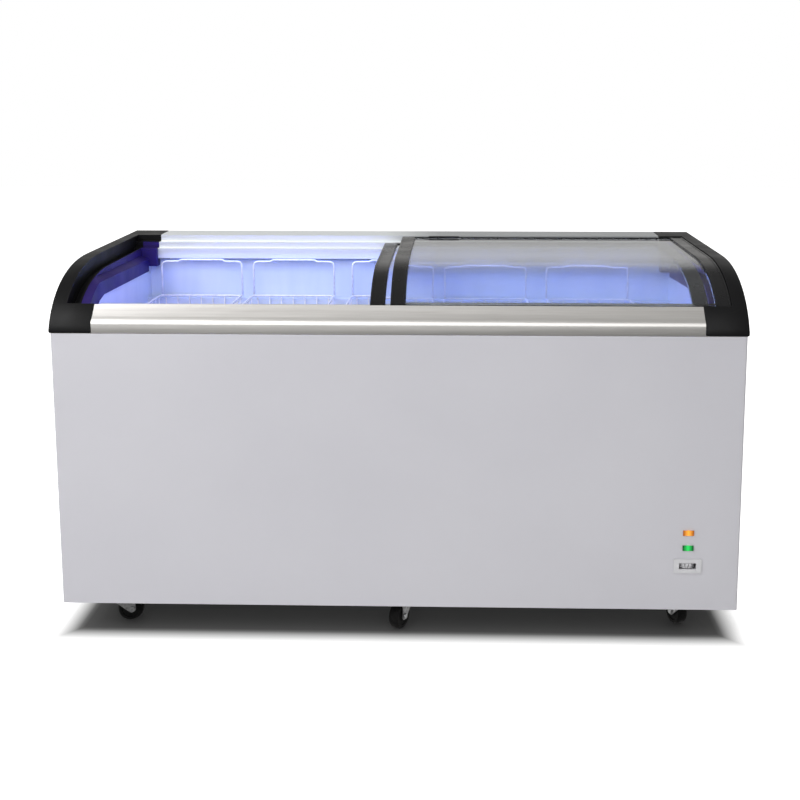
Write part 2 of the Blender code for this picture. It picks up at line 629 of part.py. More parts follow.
# ---------------------------------------------------------------- casters
def caster_meshes():
    """Meshes of one caster about its swivel axis, floor at z = 0, trail along +X."""
    top = BODY_Z - GAP
    plate = box("caster_plate_body", (-0.040, 0.040), (-0.0275 - FRONT, 0.0275 - FRONT),
                (top - 0.0028 - BODY_Z, top - BODY_Z), GALV)
    race = turned("caster_race", [(0.0, top - 0.001), (0.024, top - 0.001), (0.024, 0.0720), (0.020, 0.0670),
                                  (0.0055, 0.0670), (0.0055, 0.0628), (0.0085, 0.0622), (0.0085, 0.0602),
                                  (0.0, 0.0598)], 20)
    boolean(plate, race, "UNION")
    side = [(-0.0200, 0.0667), (-0.0200, 0.0560), (0.0125, 0.0260)]
    for k in range(7):
        a = math.radians(215 + 170 * k / 6)
        side.append((TRAIL + 0.0095 * math.cos(a), WHEEL_R + 0.0095 * math.sin(a)))
    side += [(0.0300, 0.0560), (0.0235, 0.0667)]
    half = WHEEL_W / 2 + 0.0035
    local = [(x, z - BODY_Z) for x, z in side]
    fork = outline("caster_fork_body", local, -half - FRONT, half - FRONT, "XZ", GALV)
    boolean(fork, box("caster_fork_inside", (-0.06, 0.08), (-half + 0.0025 - FRONT, half - 0.0025 - FRONT),
                      (-0.10, 0.0640 - BODY_Z), None, True))
    pin = turned("caster_pin_hole", [(0.0, 0.10), (0.0060, 0.10), (0.0060, 0.0610), (0.0, 0.0610)], 16,
                 None, True)
    boolean(fork, pin)
    bore = turned("caster_axle_hole", [(0.0, 0.05), (0.0043, 0.05), (0.0043, -0.05), (0.0, -0.05)], 16,
                  None, True)
    bore.rotation_euler = (math.radians(90), 0, 0)
    bore.location = (TRAIL, 0, WHEEL_R)
    boolean(fork, bore)
    w = WHEEL_W / 2
    wheel = turned("caster_wheel_body", [(0.0043, w), (0.012, w), (0.013, w - 0.002), (0.021, w - 0.002),
                                         (0.0225, w), (0.0275, w), (WHEEL_R, w - 0.004),
                                         (WHEEL_R, -w + 0.004), (0.0275, -w), (0.0225, -w),
                                         (0.021, -w + 0.002), (0.013, -w + 0.002), (0.012, -w),
                                         (0.0043, -w), (0.0043, w)], 24, RUBBER)
    h = half + GAP
    axle = turned("caster_axle_body", [(0.0, h + 0.003), (0.0062, h + 0.003), (0.0068, h + 0.002),
                                       (0.0068, h), (0.0040, h), (0.0040, -h), (0.0068, -h),
                                       (0.0068, -h - 0.002), (0.0062, -h - 0.003), (0.0, -h - 0.003)],
                  12, GALV)
    made = {}
    for key, obj in (("plate", plate), ("fork", fork), ("wheel", wheel), ("axle", axle)):
        done = smooth(bake(obj), 32.0)
        mesh = done.data
        if key in ("plate", "fork"):
            mesh.transform(done.matrix_world)
        made[key] = mesh
        bpy.data.objects.remove(done, do_unlink=True)
    return made


meshes = caster_meshes()
for where, (px, py, angle) in CASTERS.items():
    pivot = empty_at("caster_" + where + "_pivot", (px, FRONT + py, 0.0), angle)
    for key, mesh in meshes.items():
        obj = bpy.data.objects.new("caster_%s_%s" % (where, key), mesh)
        PARTS.objects.link(obj)
        if key in ("wheel", "axle"):
            facet = math.pi / 24 if key == "wheel" else 0.0
            obj.matrix_local = (Matrix.Translation((TRAIL, 0.0, WHEEL_R * math.cos(math.pi / 24)))
                                @ Matrix.Rotation(math.radians(90), 4, "X")
                                @ Matrix.Rotation(facet, 4, "Z"))
        if key != "plate":
            obj.parent = pivot
        else:
            obj.location = pivot.location
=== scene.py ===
import json
import math
import bmesh
import bpy
from mathutils import Euler, Matrix, Vector


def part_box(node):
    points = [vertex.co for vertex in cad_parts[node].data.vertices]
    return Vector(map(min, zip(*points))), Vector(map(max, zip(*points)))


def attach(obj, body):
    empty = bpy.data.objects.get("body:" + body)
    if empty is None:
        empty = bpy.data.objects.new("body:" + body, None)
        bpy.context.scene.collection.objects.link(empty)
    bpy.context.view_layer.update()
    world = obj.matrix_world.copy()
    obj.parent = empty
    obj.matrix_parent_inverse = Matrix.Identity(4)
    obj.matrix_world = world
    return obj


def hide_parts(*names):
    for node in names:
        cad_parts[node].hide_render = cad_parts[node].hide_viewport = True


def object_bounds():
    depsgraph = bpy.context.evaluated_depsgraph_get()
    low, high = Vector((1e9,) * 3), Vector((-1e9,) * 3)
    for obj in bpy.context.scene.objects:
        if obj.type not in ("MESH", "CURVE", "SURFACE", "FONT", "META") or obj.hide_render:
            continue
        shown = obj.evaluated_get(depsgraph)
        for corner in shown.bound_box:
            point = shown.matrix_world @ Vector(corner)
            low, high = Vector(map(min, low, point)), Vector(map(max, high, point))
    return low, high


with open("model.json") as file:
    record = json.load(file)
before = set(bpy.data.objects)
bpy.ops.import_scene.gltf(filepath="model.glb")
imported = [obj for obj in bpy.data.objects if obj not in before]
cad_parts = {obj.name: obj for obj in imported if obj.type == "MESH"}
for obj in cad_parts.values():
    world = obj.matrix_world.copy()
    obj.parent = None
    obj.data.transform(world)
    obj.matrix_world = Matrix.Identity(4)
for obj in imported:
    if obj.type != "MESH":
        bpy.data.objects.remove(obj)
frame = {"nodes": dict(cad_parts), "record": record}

cad_low, cad_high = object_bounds()
NODES = frame["nodes"]
RECORD = frame["record"]
JOINTS = {j["name"]: j for j in RECORD["behaviour"]["joints"]}
BODY_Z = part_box("outer_wrapper")[0].z
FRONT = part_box("outer_wrapper")[0].y
WELL_HALF = 0.7172  # just beyond the caps' walls that face the well, from the middle
WELL_DEPTH = (0.0496, 0.5555)  # the stretch of those walls that gets the painted violet lamp light, behind the front


# ------------------------------------------------------------------ node helpers
class Mat:
    """A material with a Principled shader and helpers that add nodes to it."""

    def __init__(self, name, rough=0.5, metal=0.0, colour=(0.5, 0.5, 0.5)):
        self.m = bpy.data.materials.new(name)
        self.m.use_nodes = True
        self.t = self.m.node_tree
        self.s = self.t.nodes["Principled BSDF"]
        self.out = self.t.nodes["Material Output"]
        self.s.inputs["Roughness"].default_value = rough
        self.s.inputs["Metallic"].default_value = metal
        self.s.inputs["Base Color"].default_value = (*colour, 1.0)
        self.where = self.t.nodes.new("ShaderNodeTexCoord")

    def link(self, a, b):
        self.t.links.new(a, b)

    def coords(self, scale=(1, 1, 1), turn=(0, 0, 0)):
        n = self.t.nodes.new("ShaderNodeMapping")
        n.inputs["Scale"].default_value = scale
        n.inputs["Rotation"].default_value = turn
        self.link(self.where.outputs["Object"], n.inputs["Vector"])
        return n.outputs["Vector"]

    def noise(self, scale, detail=3.0, stretch=(1, 1, 1), rough=0.5, distort=0.0):
        n = self.t.nodes.new("ShaderNodeTexNoise")
        n.inputs["Scale"].default_value = scale
        n.inputs["Detail"].default_value = detail
        n.inputs["Roughness"].default_value = rough
        n.inputs["Distortion"].default_value = distort
        self.link(self.coords(stretch), n.inputs["Vector"])
        return n.outputs["Fac"]

    def voronoi(self, scale, stretch=(1, 1, 1)):
        n = self.t.nodes.new("ShaderNodeTexVoronoi")
        n.inputs["Scale"].default_value = scale
        self.link(self.coords(stretch), n.inputs["Vector"])
        return n.outputs["Distance"]

    def ramp(self, fac, stops):
        n = self.t.nodes.new("ShaderNodeValToRGB")
        r = n.color_ramp
        while len(r.elements) < len(stops):
            r.elements.new(0.5)
        for e, (at, c) in zip(r.elements, stops):
            e.position = at
            e.color = (*c, 1.0) if len(c) == 3 else (c[0], c[0], c[0], 1.0)
        self.link(fac, n.inputs["Fac"])
        return n.outputs["Color"]

    def span(self, fac, low, high, a=0.0, b=1.0):
        n = self.t.nodes.new("ShaderNodeMapRange")
        n.inputs["From Min"].default_value = a
        n.inputs["From Max"].default_value = b
        n.inputs["To Min"].default_value = low
        n.inputs["To Max"].default_value = high
        self.link(fac, n.inputs["Value"])
        return n.outputs["Result"]

    def mix(self, fac, a, b, kind="MIX"):
        n = self.t.nodes.new("ShaderNodeMix")
        n.data_type = "RGBA"
        n.blend_type = kind
        if isinstance(fac, (int, float)):
            n.inputs[0].default_value = fac
        else:
            self.link(fac, n.inputs[0])
        for i, v in ((6, a), (7, b)):
            if isinstance(v, tuple):
                n.inputs[i].default_value = (*v, 1.0)
            else:
                self.link(v, n.inputs[i])
        return n.outputs[2]

    def math(self, op, a, b=0.0):
        n = self.t.nodes.new("ShaderNodeMath")
        n.operation = op
        for i, v in enumerate((a, b)):
            if isinstance(v, (int, float)):
                n.inputs[i].default_value = v
            else:
                self.link(v, n.inputs[i])
        return n.outputs[0]

    def bump(self, height, strength, distance):
        n = self.t.nodes.new("ShaderNodeBump")
        n.inputs["Strength"].default_value = strength
        n.inputs["Distance"].default_value = distance
        self.link(height, n.inputs["Height"])
        self.link(n.outputs["Normal"], self.s.inputs["Normal"])

    def set(self, **values):
        for k, v in values.items():
            self.s.inputs[k.replace("_", " ")].default_value = v
        return self

    def to(self, socket, value):
        self.link(value, self.s.inputs[socket])
        return self

    def axis(self, name):
        n = self.t.nodes.new("ShaderNodeSeparateXYZ")
        self.link(self.where.outputs["Object"], n.inputs["Vector"])
        return n.outputs[name]

    def wear(self, amount=0.004):
        """1 on exposed edges, 0 elsewhere."""
        n = self.t.nodes.new("ShaderNodeBevel")
        n.samples = 4
        n.inputs["Radius"].default_value = amount
        g = self.t.nodes.new("ShaderNodeNewGeometry")
        d = self.t.nodes.new("ShaderNodeVectorMath")
        d.operation = "DOT_PRODUCT"
        self.link(n.outputs["Normal"], d.inputs[0])
        self.link(g.outputs["Normal"], d.inputs[1])
        return self.span(d.outputs["Value"], 1.0, 0.0, 0.80, 0.985)


def painted(name, dark, light, rough=0.36):
    """Sprayed enamel on sheet steel: faint orange peel, slight cloudiness, soft scuffs."""
    m = Mat(name, rough)
    cloud = m.noise(1.7, 3.0)
    base = m.ramp(cloud, [(0.35, dark), (0.65, light)])
    fine = m.noise(38.0, 4.0)
    m.to("Base Color", m.mix(m.span(fine, 0.0, 0.05), base, tuple(c * 0.82 for c in dark)))
    scuff = m.noise(9.0, 8.0, (1.0, 1.0, 5.0), 0.7)
    m.to("Roughness", m.span(scuff, rough - 0.05, rough + 0.09, 0.3, 0.7))
    peel = m.voronoi(420.0)
    m.bump(peel, 0.10, 0.0004)
    m.set(Coat_Weight=0.15, Coat_Roughness=0.2)
    return m.m


def brushed(name, dark, light, rough=0.30, along="X", strength=0.25, fine=900.0, metal=1.0, painted_shade_fade=None):
    """Drawn aluminium with its grain along one axis; the optional (x from, x to, tone) paints shade that
    darkens it toward its right end.
    """
    m = Mat(name, rough, metal)
    squash = {"X": (0.012, 1.0, 1.0), "Y": (1.0, 0.012, 1.0), "Z": (1.0, 1.0, 0.012)}[along]
    grain = m.noise(fine, 3.0, squash, 0.65)
    broad = m.noise(160.0, 2.0, squash, 0.5)
    both = m.math("ADD", m.math("MULTIPLY", grain, 0.6), m.math("MULTIPLY", broad, 0.4))
    base = m.ramp(both, [(0.3, dark), (0.7, light)])
    # painted shade: the colour is multiplied darker across the given x span, toward the right end
    if painted_shade_fade:
        painted_shade_tone = m.mix(1.0, base, (painted_shade_fade[2], painted_shade_fade[2], painted_shade_fade[2]), "MULTIPLY")
        base = m.mix(m.span(m.axis("X"), 0.0, 1.0, painted_shade_fade[0], painted_shade_fade[1]), base, painted_shade_tone)
    m.to("Base Color", base)
    m.to("Roughness", m.span(both, rough - 0.04, rough + 0.06, 0.3, 0.7))
    m.bump(grain, strength, 0.00004)
    return m.m


def plastic(name, dark, light, rough=0.42, grain=900.0, depth=0.35, worn=None, gloss=0.5):
    """Moulded plastic with a fine spark-eroded grain and slightly paler edges."""
    m = Mat(name, rough)
    m.set(Specular_IOR_Level=gloss)
    cloud = m.noise(6.0, 4.0)
    base = m.ramp(cloud, [(0.3, dark), (0.7, light)])
    if worn:
        base = m.mix(m.math("MULTIPLY", m.wear(), 0.6), base, worn)
    m.to("Base Color", base)
    speck = m.noise(grain, 2.0)
    m.to("Roughness", m.span(m.noise(14.0, 5.0), rough - 0.06, rough + 0.10, 0.3, 0.7))
    m.bump(speck, depth, 0.00025)
    return m.m


def cap_material():
    """The end caps' black plastic; the walls that face the well have the lamp's violet light painted into
    their colour.
    """
    m = Mat("black_cap_plastic", 0.44)
    m.set(Specular_IOR_Level=0.17)
    deep, pale = (0.0032, 0.0032, 0.0036), (0.0065, 0.0065, 0.0072)
    base = m.ramp(m.noise(6.0, 4.0), [(0.3, deep), (0.7, pale)])
    base = m.mix(m.math("MULTIPLY", m.wear(), 0.6), base, (0.022, 0.022, 0.023))
    # painted lamp light: a violet colour on the cap walls that face the well, where the lamp shines
    lit = m.ramp(m.noise(9.0, 3.0), [(0.3, (0.020, 0.011, 0.105)), (0.7, (0.034, 0.019, 0.165))])
    inner = m.math("LESS_THAN", m.math("ABSOLUTE", m.axis("X")), WELL_HALF)
    behind_front = m.math("GREATER_THAN", m.axis("Y"), FRONT + WELL_DEPTH[0])
    before_rail = m.math("LESS_THAN", m.axis("Y"), FRONT + WELL_DEPTH[1])
    well = m.math("MULTIPLY", m.math("MULTIPLY", inner, behind_front), before_rail)
    m.to("Base Color", m.mix(well, base, lit))
    m.to("Roughness", m.span(m.noise(14.0, 5.0), 0.38, 0.52, 0.3, 0.7))
    m.bump(m.noise(1100.0, 2.0), 0.20, 0.00025)
    return m.m


def liner_material():
    """White coated liner with the lamp's blue light painted into its colour: smooth, with faint draw marks
    and a little frost haze low down.
    """
    m = Mat("liner_white", 0.34)
    marks = m.noise(20.0, 4.0, (1.0, 1.0, 0.15))
    # painted lamp light: the white liner's tones are tinted blue for the lamp's glow inside
    base = m.ramp(marks, [(0.3, (0.60, 0.68, 0.82)), (0.7, (0.67, 0.74, 0.86))])
    frost = m.noise(45.0, 8.0, (1, 1, 1), 0.75)
    low = m.span(m.axis("Z"), 0.55, 0.0, 0.15, 0.55)
    m.to("Base Color", m.mix(m.math("MULTIPLY", low, m.span(frost, 0.0, 1.0, 0.45, 0.62)), base,
                             (0.76, 0.83, 0.94)))
    m.to("Roughness", m.span(frost, 0.28, 0.46, 0.35, 0.65))
    m.bump(m.noise(16.0, 3.0), 0.12, 0.002)
    return m.m


def glass_material(name, tint):
    """Toughened float glass: clear, faint smears in the gloss, and lamps shine through it."""
    m = Mat(name, 0.02, 0.0, tint)
    m.set(Transmission_Weight=1.0, IOR=1.5)
    smear = m.noise(5.0, 6.0, (1.0, 2.5, 1.0), 0.6, 0.4)
    m.to("Roughness", m.span(smear, 0.0, 0.035, 0.42, 0.72))
    clear = m.t.nodes.new("ShaderNodeBsdfTransparent")
    clear.inputs["Color"].default_value = (0.96, 0.975, 0.98, 1.0)
    path = m.t.nodes.new("ShaderNodeLightPath")
    mix = m.t.nodes.new("ShaderNodeMixShader")
    m.link(path.outputs["Is Shadow Ray"], mix.inputs[0])
    m.link(m.s.outputs[0], mix.inputs[1])
    m.link(clear.outputs[0], mix.inputs[2])
    m.link(mix.outputs[0], m.out.inputs["Surface"])
    return m.m


def galvanised(name, dark=(0.33, 0.34, 0.35), light=(0.62, 0.63, 0.64), rough=0.42):
    """Zinc coated steel: crystal spangle and dulled patches."""
    m = Mat(name, rough, 1.0)
    cells = m.voronoi(140.0)
    patch = m.noise(30.0, 5.0)
    both = m.math("ADD", m.math("MULTIPLY", cells, 0.7), m.math("MULTIPLY", patch, 0.5))
    m.to("Base Color", m.ramp(both, [(0.25, dark), (0.75, light)]))
    m.to("Roughness", m.span(patch, rough - 0.08, rough + 0.18, 0.3, 0.7))
    m.bump(cells, 0.15, 0.0003)
    return m.m


def rubber(name):
    """Hard black tread with a dusty running surface."""
    m = Mat(name, 0.62)
    m.set(Specular_IOR_Level=0.14)
    dust = m.noise(70.0, 6.0, (1, 1, 1), 0.7)
    m.to("Base Color", m.ramp(dust, [(0.35, (0.003, 0.003, 0.0035)), (0.75, (0.016, 0.0155, 0.015))]))
    m.to("Roughness", m.span(dust, 0.48, 0.80, 0.3, 0.7))
    m.bump(m.noise(400.0, 3.0), 0.4, 0.0004)
    return m.m


def lens(name, node, dark, bright, glow, rough=0.18):
    """A lit lens: moulded ribs, brightest over the lamp in its middle and deeper toward its ends."""
    m = Mat(name, rough)
    low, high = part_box(node)
    mid = (low.x + high.x) / 2
    out = m.math("ABSOLUTE", m.math("SUBTRACT", m.axis("X"), mid))
    lit = m.span(out, 1.0, 0.0, 0.0, (high.x - low.x) * 0.46)
    wave = m.t.nodes.new("ShaderNodeTexWave")
    wave.bands_direction = "X"
    wave.inputs["Scale"].default_value = 170.0
    m.link(m.where.outputs["Object"], wave.inputs["Vector"])
    ribs = m.math("MULTIPLY", wave.outputs["Fac"], 0.5)
    mottled = m.math("ADD", ribs, m.math("MULTIPLY", m.noise(260.0, 2.0), 0.5))
    both = m.math("ADD", m.math("MULTIPLY", lit, 0.75), m.math("MULTIPLY", mottled, 0.25))
    col = m.ramp(both, [(0.15, dark), (0.90, bright)])
    m.to("Base Color", col)
    m.to("Emission Color", col)
    m.set(Emission_Strength=glow, Coat_Weight=0.6, Coat_Roughness=0.05)
    m.bump(wave.outputs["Fac"], 0.5, 0.0004)
    return m.m


def led_material():
    """The lamp bar's diffuser, with a brighter spot over each diode."""
    m = Mat("led_diffuser", 0.35, 0.0, (0.6, 0.62, 0.9))
    wave = m.t.nodes.new("ShaderNodeTexWave")
    wave.bands_direction = "X"
    wave.inputs["Scale"].default_value = 8.0
    m.link(m.where.outputs["Object"], wave.inputs["Vector"])
    between, over = (0.20, 0.24, 1.0), (0.42, 0.48, 1.0)
    m.to("Emission Color", m.ramp(wave.outputs["Fac"], [(0.2, between), (0.8, over)]))
    m.set(Emission_Strength=6.0)
    return m.m


def coated_wire():
    """White plastic dip coating with small runs and a little grey rub on the outer faces."""
    m = Mat("coated_wire", 0.33)
    rub = m.noise(85.0, 5.0)
    m.to("Base Color", m.ramp(rub, [(0.3, (0.70, 0.72, 0.78)), (0.6, (0.88, 0.89, 0.92))]))
    m.to("Roughness", m.span(rub, 0.26, 0.46, 0.3, 0.7))
    m.bump(m.noise(240.0, 3.0), 0.35, 0.0005)
    m.set(Coat_Weight=0.3, Coat_Roughness=0.15)
    return m.m


def foam_material():
    m = Mat("foam_skin", 0.9)
    cells = m.voronoi(300.0)
    m.to("Base Color", m.ramp(cells, [(0.0, (0.55, 0.44, 0.22)), (0.6, (0.85, 0.76, 0.50))]))
    m.bump(cells, 0.6, 0.001)
    return m.m


PAINT = painted("grey_enamel", (0.560, 0.556, 0.598), (0.590, 0.586, 0.626))
BACK = painted("back_enamel", (0.50, 0.50, 0.53), (0.55, 0.55, 0.58), 0.42)
LID_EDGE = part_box("upper_lid_left_stile")[0].x
# painted shade: the front rail's colour darkens from its left end to its right end
FRONT_ALU = brushed("front_rail_aluminium", (0.82, 0.80, 0.775), (0.97, 0.95, 0.925), 0.38, "X", 0.07,
                    painted_shade_fade=(cad_low.x, cad_high.x, 0.72))
# painted shade: the rear rail's colour darkens to the right of the upper lid's edge
REAR_ALU = brushed("rear_rail_aluminium", (0.88, 0.92, 0.94), (0.95, 0.98, 1.0), 0.40, "X", 0.05,
                   metal=0.6, painted_shade_fade=(LID_EDGE - 0.05, LID_EDGE + 0.10, 0.50))
BLACK = cap_material()
STILE = plastic("black_stile_plastic", (0.0035, 0.0035, 0.004), (0.008, 0.008, 0.009), 0.24, 1300.0, 0.08,
                (0.018, 0.018, 0.019), 0.36)
LINER = liner_material()
GLASS = glass_material("lid_glass", (0.87, 0.90, 0.945))
CLEAR = glass_material("clear_edge_moulding", (0.86, 0.88, 0.90))
GALV = galvanised("zinc_plate")
FORK = galvanised("zinc_fork", (0.24, 0.24, 0.25), (0.55, 0.55, 0.56), 0.48)
TYRE = rubber("wheel_tread")
AMBER = lens("amber_lens", "amber_indicator", (0.30, 0.07, 0.002), (1.0, 0.42, 0.05), 0.55)
GREEN = lens("green_lens", "green_indicator", (0.0, 0.075, 0.012), (0.02, 0.72, 0.12), 0.40)
LED = led_material()
WIRE = coated_wire()
FOAM = foam_material()
ENAMEL = plastic("black_compressor_enamel", (0.010, 0.010, 0.011), (0.024, 0.024, 0.026), 0.30, 300.0, 0.15,
                 (0.06, 0.06, 0.06))
COIL = plastic("black_coil_paint", (0.014, 0.014, 0.015), (0.035, 0.034, 0.033), 0.45, 500.0, 0.4)
MOULD = plastic("black_moulding", (0.012, 0.012, 0.012), (0.026, 0.026, 0.027), 0.45, 700.0, 0.3)
WHITE = plastic("white_moulding", (0.58, 0.58, 0.60), (0.66, 0.66, 0.68), 0.38, 1200.0, 0.2)
INK = plastic("printed_ink", (0.015, 0.015, 0.016), (0.03, 0.03, 0.03), 0.5, 900.0, 0.1)

LOOKS = {
    "outer_wrapper": PAINT, "back_panel": BACK, "base_tray": GALV, "inner_liner": LINER,
    "foam_insulation": FOAM, "front_rail": FRONT_ALU, "rear_rail": REAR_ALU, "left_end_cap": BLACK,
    "right_end_cap": BLACK, "led_lamp": LED, "amber_indicator": AMBER, "green_indicator": GREEN,
    "thermostat_housing": WHITE, "thermostat_dial": WHITE, "compressor": ENAMEL, "condenser_coil": COIL,
    "fan_motor": ENAMEL, "fan_blade": MOULD, "rear_grille": MOULD, "cord_gland": MOULD,
}
for name, obj in NODES.items():
    if name in LOOKS:
        mat = LOOKS[name]
    elif name.endswith("_glass"):
        mat = GLASS
    elif name.endswith("_front_trim"):
        mat = CLEAR
    elif "_lid_" in name:
        mat = STILE
    elif name.startswith("basket"):
        mat = WIRE
    elif name.endswith("_wheel"):
        mat = TYRE
    elif name.endswith("_fork"):
        mat = FORK
    else:
        mat = GALV
    obj.data.materials.clear()
    obj.data.materials.append(mat)


def soften(obj, angle=32.0):
    """Round CAD surfaces shade smoothly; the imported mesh's split corners are welded first."""
    weld = obj.modifiers.new("weld", "WELD")
    weld.merge_threshold = 0.00002
    obj.data.shade_smooth()
    group = obj.modifiers.new("edges", "EDGE_SPLIT")
    group.split_angle = math.radians(angle)
    group.use_edge_angle = True
    group.use_edge_sharp = False


for name in NODES:
    soften(NODES[name])


# ------------------------------------------------------------------ wire baskets
def tube(bm, points, radius, sides=8, closed=False):
    """A round wire swept along points, with capped ends unless it is closed."""
    pts = [Vector(p) for p in points]
    n = len(pts)
    rings = []
    up = None
    for i, p in enumerate(pts):
        if closed:
            way = (pts[(i + 1) % n] - pts[i - 1]).normalized()
        else:
            way = (pts[min(i + 1, n - 1)] - pts[max(i - 1, 0)]).normalized()
        if up is None:
            up = Vector((0, 0, 1)) if abs(way.z) < 0.9 else Vector((0, 1, 0))
        side = way.cross(up).normalized()
        up = side.cross(way).normalized()
        rings.append([
            bm.verts.new(p + side * (radius * math.cos(2 * math.pi * k / sides))
                         + up * (radius * math.sin(2 * math.pi * k / sides)))
            for k in range(sides)
        ])
    pairs = [(i, (i + 1) % n) for i in range(n if closed else n - 1)]
    for a, b in pairs:
        for k in range(sides):
            bm.faces.new((rings[a][k], rings[a][(k + 1) % sides], rings[b][(k + 1) % sides], rings[b][k]))
    if not closed:
        bm.faces.new(rings[0][::-1])
        bm.faces.new(rings[-1])


def rounded(points, radius, steps=4, closed=False):
    """A polyline with its corners rounded."""
    pts = [Vector(p) for p in points]
    n = len(pts)
    out = []
    for i, p in enumerate(pts):
        if not closed and i in (0, n - 1):
            out.append(p)
            continue
        a = (pts[i - 1] - p)
        b = (pts[(i + 1) % n] - p)
        cut = min(radius, a.length * 0.45, b.length * 0.45)
        start = p + a.normalized() * cut
        end = p + b.normalized() * cut
        for k in range(steps + 1):
            t = k / steps
            out.append(start.lerp(p, t).lerp(p.lerp(end, t), t))
    return out


RIM_UP = 0.6233  # the baskets' rims above the wrapper's foot
LIP_UP = 0.6178  # their front lips, on the liner's ledge
BASKET_DEPTH = (0.0290, 0.4530)  # their front and rear walls behind the liner's front
RIM_WIRE = 0.0028
HANGER_WIRE = 0.0026
LIP_WIRE = 0.0024
FRAME_WIRE = 0.0022
RING_WIRE = 0.0020
MESH_WIRE = 0.0015
ACROSS = 6
ALONG = 12


def wire_basket(name):
    """A basket of coated wire in place of the CAD's plain one."""
    low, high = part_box(name)
    rim_z = BODY_Z + RIM_UP
    margin = 0.0025
    x0, x1 = low.x + margin, high.x - margin
    y0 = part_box("inner_liner")[0].y + BASKET_DEPTH[0]
    y1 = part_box("inner_liner")[0].y + BASKET_DEPTH[1]
    z0 = low.z + margin
    bm = bmesh.new()
    top = [(x0, y0, rim_z), (x1, y0, rim_z), (x1, y1, rim_z), (x0, y1, rim_z)]
    tube(bm, rounded(top, 0.022, 5, True), RIM_WIRE, 8, True)
    # side walls taper in a little towards the floor of the basket
    inset = 0.010
    fx0, fx1, fy0, fy1 = x0 + inset, x1 - inset, y0 + inset, y1 - inset
    floor = [(fx0, fy0, z0), (fx1, fy0, z0), (fx1, fy1, z0), (fx0, fy1, z0)]
    tube(bm, rounded(floor, 0.018, 4, True), FRAME_WIRE, 8, True)
    for t in (0.30, 0.62):
        k = inset * t
        z = rim_z + (z0 - rim_z) * t
        ring = [(x0 + k, y0 + k, z), (x1 - k, y0 + k, z), (x1 - k, y1 - k, z), (x0 + k, y1 - k, z)]
        tube(bm, rounded(ring, 0.020, 4, True), RING_WIRE, 6, True)
    for i in range(ACROSS + 1):
        t = i / ACROSS
        xt = x0 + 0.014 + (x1 - x0 - 0.028) * t
        xb = fx0 + 0.012 + (fx1 - fx0 - 0.024) * t
        run = [(xt, y0, rim_z), (xb, fy0, z0 + 0.001), (xb, fy1, z0 + 0.001), (xt, y1, rim_z)]
        tube(bm, rounded(run, 0.012, 3), MESH_WIRE, 6)
    for i in range(ALONG + 1):
        t = i / ALONG
        yt = y0 + 0.018 + (y1 - y0 - 0.036) * t
        yb = fy0 + 0.016 + (fy1 - fy0 - 0.032) * t
        run = [(x0, yt, rim_z), (fx0, yb, z0 + 0.003), (fx1, yb, z0 + 0.003), (x1, yt, rim_z)]
        tube(bm, rounded(run, 0.012, 3), MESH_WIRE, 6)
    # rear hanger: two uprights, rounded shoulders, a raised grip in the middle
    hy = high.y - HANGER_WIRE
    top_z = high.z - 0.003
    shoulder = top_z - 0.0045
    xc = (x0 + x1) / 2
    foot = rim_z - 0.003
    left, right = x0 + 0.001, x1 - 0.001
    hang = [
        (left, hy, foot), (left, hy, shoulder), (xc - 0.062, hy, shoulder), (xc - 0.056, hy, top_z),
        (xc + 0.056, hy, top_z), (xc + 0.062, hy, shoulder), (right, hy, shoulder), (right, hy, foot),
    ]
    tube(bm, rounded(hang, 0.014, 5), HANGER_WIRE, 8)
    for x in (left, right):
        tube(bm, [(x, hy, rim_z - 0.001), (x, y1, rim_z - 0.001)], FRAME_WIRE, 6)
    # front lip that sits on the liner's ledge
    lip_y = low.y + 0.003
    lip_z = BODY_Z + LIP_UP
    left, right = x0 + 0.030, x1 - 0.030
    for x in (left, right):
        tube(bm, rounded([(x, y0, rim_z), (x, lip_y, rim_z), (x, lip_y, lip_z)], 0.006, 3), FRAME_WIRE, 6)
    tube(bm, [(left, lip_y, lip_z), (right, lip_y, lip_z)], LIP_WIRE, 8)
    mesh = bpy.data.meshes.new(name + "_wires")
    bm.to_mesh(mesh)
    bm.free()
    mesh.shade_smooth()
    obj = bpy.data.objects.new(name + "_wires", mesh)
    bpy.context.scene.collection.objects.link(obj)
    obj.data.materials.append(WIRE)
    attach(obj, name)
    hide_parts(name)


for i in range(1, 6):
    wire_basket("basket_%d" % i)


# ------------------------------------------------------------------ small pieces
def add_mesh(name, bm, mat, body, smooth=False):
    mesh = bpy.data.meshes.new(name)
    bm.to_mesh(mesh)
    bm.free()
    if smooth:
        mesh.shade_smooth()
        mesh.set_sharp_from_angle(angle=math.radians(35))
    obj = bpy.data.objects.new(name, mesh)
    bpy.context.scene.collection.objects.link(obj)
    obj.data.materials.append(mat)
    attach(obj, body)
    return obj


def block(bm, x, y, z, bevel=0.0):
    """A rounded block from (low, high) pairs."""
    made = bmesh.ops.create_cube(bm, size=1.0)
    verts = made["verts"]
    size = (x[1] - x[0], y[1] - y[0], z[1] - z[0])
    bmesh.ops.scale(bm, vec=size, verts=verts)
    bmesh.ops.translate(bm, vec=((x[0] + x[1]) / 2, (y[0] + y[1]) / 2, (z[0] + z[1]) / 2), verts=verts)
    if bevel:
        edges = list({e for v in verts for e in v.link_edges})
        bmesh.ops.bevel(bm, geom=edges, offset=bevel, segments=3, profile=0.5, affect="EDGES")


